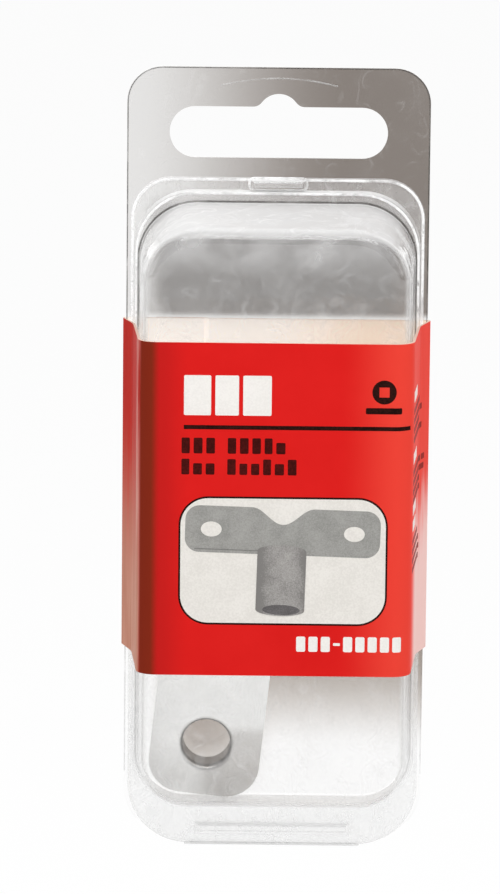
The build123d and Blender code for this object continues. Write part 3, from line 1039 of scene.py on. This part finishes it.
def painted_edge_lines(pale, dark, faint):
    """Painted highlight lines along the rim, terrace and thumb bump and over the tab's arch, and
    painted shade lines along the dome's root and the tab's edge.
    """
    low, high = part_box("front_shell")
    corner_rs = (RIM_CORNER_R - RIM_INSET, RIM_FOOT_R - RIM_INSET)
    rim = outline(high.x - RIM_INSET, high.z - RIM_INSET, low.z + RIM_INSET, *corner_rs)
    # Painted highlight lines on the rim, terrace and thumb bump, and a painted shade line at the
    # dome's root.
    bead("rim_highlight_line", rim, -SHEET_T, RIM_BEAD_R, pale, "front")
    bead("terrace_highlight_line", outline(*TERRACE, *DOME_ROOT_R), TERRACE_Y, TERRACE_BEAD_R, pale, "front")
    bead("dome_root_shade_line", outline(*DOME_ROOT, *DOME_ROOT_R), TERRACE_Y, ROOT_BEAD_R, dark, "front")
    bump = outline(*BUMP, BUMP_R, BUMP_R, 4)
    bead("thumb_bump_highlight_line", bump, -SHEET_T, BUMP_BEAD_R, pale, "front")

    end = low.z + TAB_END * RIM_FOOT_R
    low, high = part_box("back_shell")
    half, top = high.x - TAB_INSET, high.z - TAB_INSET
    tab = outline(half, top, low.z, TAB_CORNER_R - TAB_INSET, RIM_FOOT_R)
    tab = [p for p in tab if p.y > high.z - TAB_END * TAB_CORNER_R]
    line = [Vector((tab[0].x, end)), *tab, Vector((tab[-1].x, end))]
    # Painted shade line along the tab's edge.
    bead("tab_edge_shade_line", line, 0.0, TAB_BEAD_R, dark, "back", closed=False)

    radius, top, span = ARCH
    reach = math.asin(span / radius)
    arc = []
    for i in range(ARCH_STEPS + 1):
        angle = reach * (1 - 2 * i / ARCH_STEPS)
        arc.append(Vector((radius * math.sin(angle), top - radius * (1 - math.cos(angle)))))
    # Faint painted highlight line over the arch.
    bead("arch_highlight_line", arc, ARCH_Y, ARCH_BEAD_R, faint, "back", closed=False)


# ---------------------------------------------------------------- stage, lights, camera

# Floor: how many times deeper than the pack's foot, half its width, and its glow.
FLOOR_DROP = 2.6
FLOOR_HALF = 6.0
FLOOR_GLOW = 0.88

WORLD_FRONT = rgb(0.20, 0.20, 0.205)
WORLD_BEHIND = rgb(1.5, 1.5, 1.5)

# Softboxes: place, size and power.
SOFTBOX_AIM = (0.0, -0.01, -0.055)
SOFTBOXES = {
    "top_box": ((0.0, -0.50, 0.75), (0.9, 0.6), 6.5),
    "left_box": ((-0.85, -0.40, 0.35), (0.2, 0.8), 0.9),
    "right_box": ((0.80, -0.55, 0.40), (0.3, 0.8), 1.6),
}


def stage():
    """Plain pale floor, low enough for the front to swing right down."""
    floor_z = FLOOR_DROP * CAD_BOX[0][2]
    mesh = bpy.data.meshes.new("floor")
    turns = ((-1, -1), (1, -1), (1, 1), (-1, 1))
    corners = [(x * FLOOR_HALF, y * FLOOR_HALF, floor_z) for x, y in turns]
    mesh.from_pydata(corners, [], [(0, 1, 2, 3)])
    material, n = new_material("floor_white")
    shader = n.add("ShaderNodeBsdfPrincipled", Roughness=0.9)
    shader.inputs["Base Color"].default_value = rgb(0.15, 0.15, 0.15)
    shader.inputs["Specular IOR Level"].default_value = 0.0
    shader.inputs["Emission Color"].default_value = rgb(1, 1, 1)
    shader.inputs["Emission Strength"].default_value = FLOOR_GLOW
    n.out(shader.outputs[0])
    mesh.materials.append(material)
    floor = bpy.data.objects.new("floor", mesh)
    bpy.context.collection.objects.link(floor)


def world():
    """Surroundings: bright behind the pack, dim in front of it."""
    scene_world = bpy.data.worlds.new("studio")
    bpy.context.scene.world = scene_world
    scene_world.use_nodes = True
    n = Nodes(scene_world.node_tree)
    coord = n.add("ShaderNodeTexCoord")
    parts = n.add("ShaderNodeSeparateXYZ", Vector=coord.outputs["Generated"])
    behind = n.step(parts.outputs[1], 0.0, 0.7)
    colour = n.mix(behind, WORLD_FRONT, WORLD_BEHIND)
    background = n.add("ShaderNodeBackground", Color=colour, Strength=1.0)
    out = n.add("ShaderNodeOutputWorld")
    n.put(out.inputs["Surface"], background.outputs[0])


def lights():
    """Softboxes that all face the pack."""
    for name, (place, size, power) in SOFTBOXES.items():
        light = bpy.data.lights.new(name, "AREA")
        light.shape = "RECTANGLE"
        light.size, light.size_y = size
        light.energy = power
        lamp = bpy.data.objects.new(name, light)
        bpy.context.collection.objects.link(lamp)
        lamp.location = place
        towards = Vector(SOFTBOX_AIM) - Vector(place)
        lamp.rotation_euler = towards.to_track_quat("-Z", "Y").to_euler()


def camera():
    """Camera at the pack's front, a little above it."""
    e, a, r = CAM_ELEVATION, CAM_AZIMUTH, CAM_ROLL
    back = Vector((math.sin(a) * math.cos(e), -math.cos(a) * math.cos(e), math.sin(e)))
    level = Vector((math.cos(a), math.sin(a), 0.0))
    up = back.cross(level)
    right = math.cos(r) * level + math.sin(r) * up
    up = back.cross(right)
    data = bpy.data.cameras.new("camera")
    data.lens = CAM_LENS
    data.sensor_width = 36.0
    data.clip_start = 0.01
    data.clip_end = 50.0
    eye = bpy.data.objects.new("camera", data)
    bpy.context.collection.objects.link(eye)
    turn = Matrix((right, up, back)).transposed().to_4x4()
    eye.matrix_world = Matrix.Translation(CAM_TARGET + back * CAM_DISTANCE) @ turn
    bpy.context.scene.camera = eye


# ---------------------------------------------------------------- the whole pack


def dress_cad():
    """Materials for the CAD nodes, and the clear pieces that are made here."""
    front_sheet = clear_sheet("front_sheet", painted_backdrop=False)
    dress("back_shell", clear_sheet("back_sheet", painted_backdrop=True))
    dress("front_shell", front_sheet)
    card = sleeve_card()
    for node in frame["nodes"]:
        if node.startswith("card_"):
            dress(node, card)
    dress("card_glue_strip", hot_glue())
    plate = zinc("zinc_plate", rgb(0.93, 0.93, 0.92), rgb(0.82, 0.82, 0.81))
    dress("key_front_stamping", plate)
    dress("key_back_stamping", plate)
    dress("key_socket", zinc("bush_plate", rgb(0.62, 0.61, 0.59), rgb(0.45, 0.44, 0.42)))
    fold_strip(front_sheet)
    # Painted highlight lines with a painted glow, painted shade lines, and faint painted highlight
    # lines.
    pale = painted_edge_line("painted_highlight_line", rgb(0.95, 0.95, 0.95), 0.9, painted_glow=0.28)
    dark = painted_edge_line("painted_shade_line", rgb(0.10, 0.095, 0.09), 0.55)
    faint = painted_edge_line("faint_painted_highlight_line", rgb(0.9, 0.9, 0.9), 0.4)
    painted_edge_lines(pale, dark, faint)


def print_sleeve():
    """All the ink on the sleeve."""
    white = ink("ink_white", rgb(0.86, 0.83, 0.79), rgb(0.92, 0.89, 0.85))
    black = ink("ink_black", rgb(0.012, 0.005, 0.004), rgb(0.035, 0.010, 0.008))
    off_white = ink("ink_panel", rgb(0.77, 0.74, 0.69), rgb(0.85, 0.82, 0.77))
    maroon = ink("ink_maroon", rgb(0.045, 0.006, 0.005), rgb(0.085, 0.009, 0.008))
    print_front(white, black, maroon, off_white)
    middle = PICTURE_MIDDLE[0] * MM
    half = KEY_BARREL_HALF * PICTURE_SCALE * MM
    grey = halftone("picture_grey", rgb(0.24, 0.24, 0.22), rgb(0.40, 0.39, 0.37))
    barrel_tones = (rgb(0.20, 0.19, 0.18), rgb(0.46, 0.44, 0.42))
    barrel = halftone("picture_barrel_grey", *barrel_tones, middle, half)
    dark = halftone("picture_dark", rgb(0.05, 0.045, 0.045), rgb(0.16, 0.15, 0.15))
    edge = halftone("picture_edge_grey", rgb(0.15, 0.15, 0.14), rgb(0.24, 0.23, 0.22))
    print_picture(grey, barrel, dark, edge)
    print_side(white, ink("ink_dark_red", rgb(0.20, 0.014, 0.010), rgb(0.34, 0.020, 0.014)))


def main():
    camera()
    stage()
    world()
    lights()
    bpy.context.scene.view_settings.view_transform = "Standard"
    bpy.context.scene.cycles.transparent_max_bounces = 32
    dress_cad()
    print_sleeve()


main()
